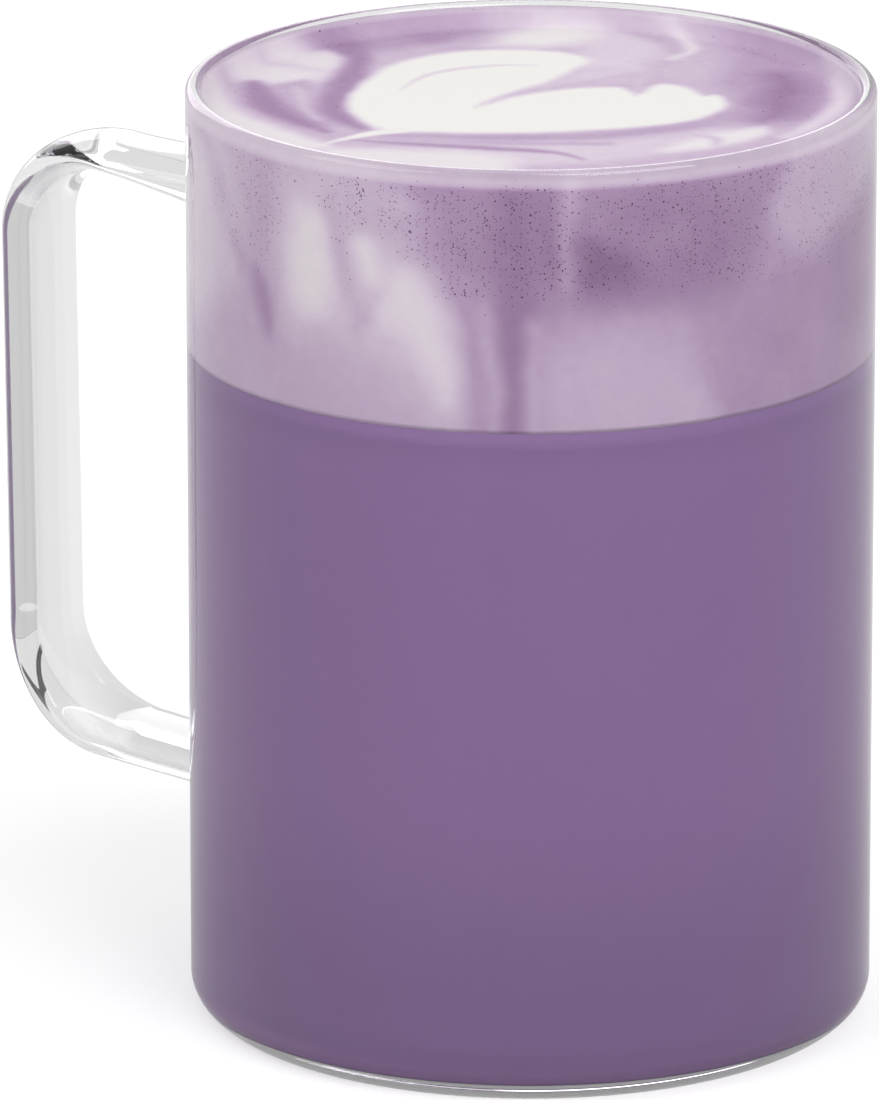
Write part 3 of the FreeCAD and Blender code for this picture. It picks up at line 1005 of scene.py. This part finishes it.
def glass_material(settings):
    """Clear glass that lets lamps through to the drink."""
    material, steps = new_material("clear_glass")
    glass = steps.add("ShaderNodeBsdfPrincipled", {
        "Base Color": GLASS_TINT, "Roughness": 0.0, "IOR": settings.index,
        "Transmission Weight": 1.0,
    })
    through = steps.add("ShaderNodeBsdfTransparent", {0: LAMPLIGHT_TINT})
    steps.surface(steps.add("ShaderNodeMixShader", {
        0: steps.add("ShaderNodeLightPath").outputs["Is Shadow Ray"],
        1: glass.outputs[0], 2: through.outputs[0],
    }))
    return material


# ---------------------------------------------------------------- operators


class UBE_OT_glass_mug(bpy.types.Operator):
    """Give the glass mug a smooth skin of clear glass"""

    bl_idname = "ube.glass_mug"
    bl_label = "Glass Mug"

    def execute(self, context):
        settings = context.scene.ube_glass
        outline = mug_outline(settings, context.scene.ube_drink.corner)
        wall = turned_mesh("mug_wall", [(r, z) for r, z, _ in outline], MUG_STEPS)
        handle = handle_mesh(settings.run_out)
        mesh = joined(wall, handle, "clear_mug")
        face_as_formed(mesh, outline, handle)
        piece = add_piece("clear_mug", mesh, glass_material(settings))
        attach(piece, "root")
        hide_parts("glass_mug")
        return {"FINISHED"}


class UBE_OT_drink(bpy.types.Operator):
    """Fill the glass with the purple latte"""

    bl_idname = "ube.drink"
    bl_label = "Drink"

    def execute(self, context):
        settings = context.scene.ube_drink
        wall = DRINK_HIGH.x + settings.overlap
        material = drink_material(settings)
        mesh = grown_mesh("latte", filling_group(), {
            "Radius": wall, "Floor": DRINK_LOW.z + 0.05 * MM, "Top": DRINK_HIGH.z,
            "Corner": settings.corner, "Around": 288, "Rings": 100, "Levels": 40,
            "Material": material,
        })
        piece = add_piece("latte", mesh, material)
        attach(piece, "root")
        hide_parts("drink")
        return {"FINISHED"}


class UBE_OT_foam(bpy.types.Operator):
    """Top the drink with marbled milk foam"""

    bl_idname = "ube.foam"
    bl_label = "Milk Foam"

    def execute(self, context):
        settings = context.scene.ube_foam
        inside = FOAM_HIGH.x
        wall = inside + context.scene.ube_drink.overlap
        top = MUG_HIGH.z - settings.drop
        material = foam_material(settings, bubble_group())
        mesh = grown_mesh("milk_foam", filling_group(), {
            "Radius": wall, "Floor": FOAM_LOW.z, "Top": top, "Corner": 0.0,
            "Rise": settings.cling_rise, "Reach": settings.cling_reach,
            "Around": 400, "Rings": 76, "Levels": 56, "Material": material,
        })
        points = coordinates(mesh)
        tones, bubbles = marbling_tones(points, wall, top, settings.seed)
        for name, values in (("marbling", tones), ("bubbles", bubbles)):
            attribute = mesh.attributes.new(name, "FLOAT", "POINT")
            attribute.data.foreach_set("value", values.astype(np.float32))
        piece = add_piece("milk_foam", mesh, material)
        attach(piece, "root")
        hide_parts("foam")
        return {"FINISHED"}


def round_front(right, away, up):
    """A place given from the drinker's side: right, away and up in metres."""
    return Matrix.Rotation(FRONT, 3, "Z") @ Vector((right, away, up))


# Places are in metres, seen from the drinker's side. A lamp has its place and its size,
# a card its shade and its corners.
LAMP_TARGET = Vector((0, 0, 0.06))
LAMPS = (
    ("key", (0.6, -0.7, 1.3), (1.0, 1.0)),
    ("fill", (-0.9, -0.5, 0.8), (0.9, 0.9)),
    ("back", (-0.35, 1.15, 0.5), (0.9, 0.7)),
)
# Painted shade seen only through the glass: a grey patch on the floor to the mug's right stands
# for its shadow there, and a faintly glowing dark card puts dark streaks in the handle.
FLAGS = (
    ("grey_flag", 0.62, [(0.06, -0.04, 0.0005), (1.1, -0.3, 0.0005), (1.1, 0.4, 0.0005),
                         (0.06, 0.14, 0.0005)]),
    ("dark_flag", 0.1, [(0.75, 0.16, 0.2), (0.38, 0.6, 0.24), (0.38, 0.6, 0.3),
                        (0.75, 0.16, 0.27)]),
)
FLOOR_RADIUS = 12
FLOOR_COLOUR = (0.72, 0.72, 0.72, 1)
# The camera's lens and sensor in millimetres, and its turns in degrees: to its left,
# down and about its own line of sight.
LENS, SENSOR = 401.5, 36
CAMERA_PLACE = (0, -1.4062, 0.4802)
CAMERA_LEFT, CAMERA_DOWN, CAMERA_ROLL = 0.4444, 16.771, -0.0702
# How brightly camera, transmission and glossy rays see the floor's glow and the world.
FLOOR_SEEN = (0.4, 0.15, 0.1)
WORLD_SEEN = (1.0, 0.92, 0.9)


def add_lamp(name, place, size, power):
    """A soft light that faces the middle of the mug."""
    light = bpy.data.lights.new(name, "AREA")
    light.shape = "RECTANGLE"
    light.size, light.size_y = size
    light.energy = power
    lamp = new_object(name, light)
    aim = (LAMP_TARGET - place).to_track_quat("-Z", "Y")
    lamp.matrix_world = Matrix.Translation(place) @ aim.to_matrix().to_4x4()


def add_sheet(name, corners, material):
    """A flat sheet of the stage."""
    mesh = bpy.data.meshes.new(name)
    mesh.from_pydata(corners, [], [range(len(corners))])
    mesh.materials.append(material)
    return new_object(name, mesh)


def seen_rays(steps, brightness):
    """The brightness for camera, transmission and glossy rays, and 0 for the rest."""
    path = steps.add("ShaderNodeLightPath").outputs
    camera, transmission, glossy = (
        steps.math("MULTIPLY", path["Is " + ray + " Ray"], value)
        for ray, value in zip(("Camera", "Transmission", "Glossy"), brightness)
    )
    return steps.math("MAXIMUM", steps.math("MAXIMUM", camera, transmission), glossy)


class UBE_OT_stage(bpy.types.Operator):
    """Set a pale floor, soft lights and the camera"""

    bl_idname = "ube.stage"
    bl_label = "Stage"

    def execute(self, context):
        settings = context.scene.ube_stage
        scene = context.scene
        self.add_floor()
        self.add_world(scene, settings.ambient)
        for name, place, size in LAMPS:
            add_lamp(name, round_front(*place), size, getattr(settings, name))
        self.add_flags()
        self.add_camera(scene)
        scene.view_settings.view_transform = "Standard"
        scene.cycles.max_bounces = 24
        scene.cycles.glossy_bounces = 16
        scene.cycles.transmission_bounces = 24
        return {"FINISHED"}

    def add_floor(self):
        material, steps = new_material("pale_floor")
        matt = steps.add("ShaderNodeBsdfPrincipled", {
            "Base Color": FLOOR_COLOUR, "Roughness": 0.9, "Specular IOR Level": 0.0,
        })
        glow = steps.add("ShaderNodeEmission", {"Strength": seen_rays(steps, FLOOR_SEEN)})
        steps.surface(steps.add("ShaderNodeAddShader", {
            0: matt.outputs[0], 1: glow.outputs[0],
        }))
        floor = add_sheet("floor", [
            (FLOOR_RADIUS * math.cos(a), FLOOR_RADIUS * math.sin(a), 0)
            for a in np.radians(np.arange(0, 360, 5))
        ], material)

    def add_flags(self):
        """Glowing grey and dark cards that only the glass sees: painted shade that draws its
        edges.
        """
        for name, shade, corners in FLAGS:
            material, steps = new_material(name)
            steps.surface(steps.add("ShaderNodeEmission", {"Color": (shade, shade, shade, 1)}))
            flag = add_sheet(name, [round_front(*corner) for corner in corners], material)
            flag.visible_camera = flag.visible_diffuse = flag.visible_shadow = False
            flag.visible_glossy = False

    def add_world(self, scene, ambient):
        world = bpy.data.worlds.new("soft_studio")
        scene.world = world
        world.use_nodes = True
        world.node_tree.nodes.clear()
        steps = Steps(world.node_tree)
        strength = steps.add("ShaderNodeMapRange", {
            "Value": seen_rays(steps, WORLD_SEEN), "To Min": ambient, "To Max": 1.0,
        })
        back = steps.add("ShaderNodeBackground", {"Strength": strength.outputs[0]})
        steps.add("ShaderNodeOutputWorld", {"Surface": back.outputs[0]})

    def add_camera(self, scene):
        camera = bpy.data.cameras.new("camera")
        camera.sensor_width = SENSOR
        camera.lens = LENS
        camera.clip_start, camera.clip_end = 0.05, 60
        holder = new_object("camera", camera)
        holder.matrix_world = (
            Matrix.Translation(round_front(*CAMERA_PLACE))
            @ Matrix.Rotation(FRONT + math.radians(CAMERA_LEFT), 4, "Z")
            @ Matrix.Rotation(math.radians(90 - CAMERA_DOWN), 4, "X")
            @ Matrix.Rotation(math.radians(CAMERA_ROLL), 4, "Z")
        )
        scene.camera = holder


class UBE_PT_panel(bpy.types.Panel):
    """The steps that build the latte, in order"""

    bl_label = "Ube Latte"
    bl_idname = "UBE_PT_panel"
    bl_space_type = "VIEW_3D"
    bl_region_type = "UI"
    bl_category = "Ube Latte"

    def draw(self, context):
        for operator in OPERATORS:
            self.layout.operator(operator.bl_idname)
        for name, _ in SETTINGS:
            group = getattr(context.scene, name)
            box = self.layout.box()
            for key in group.__annotations__:
                box.prop(group, key)


SETTINGS = (
    ("ube_drink", DrinkSettings),
    ("ube_foam", FoamSettings),
    ("ube_glass", GlassSettings),
    ("ube_stage", StageSettings),
)
OPERATORS = (UBE_OT_glass_mug, UBE_OT_drink, UBE_OT_foam, UBE_OT_stage)


def register():
    for name, group in SETTINGS:
        bpy.utils.register_class(group)
        setattr(bpy.types.Scene, name, PointerProperty(type=group))
    for operator in OPERATORS:
        bpy.utils.register_class(operator)
    bpy.utils.register_class(UBE_PT_panel)


def unregister():
    bpy.utils.unregister_class(UBE_PT_panel)
    for operator in reversed(OPERATORS):
        bpy.utils.unregister_class(operator)
    for name, group in reversed(SETTINGS):
        delattr(bpy.types.Scene, name)
        bpy.utils.unregister_class(group)


def main():
    register()
    bpy.ops.ube.glass_mug()
    bpy.ops.ube.drink()
    bpy.ops.ube.foam()
    bpy.ops.ube.stage()


if __name__ == "__main__":
    main()
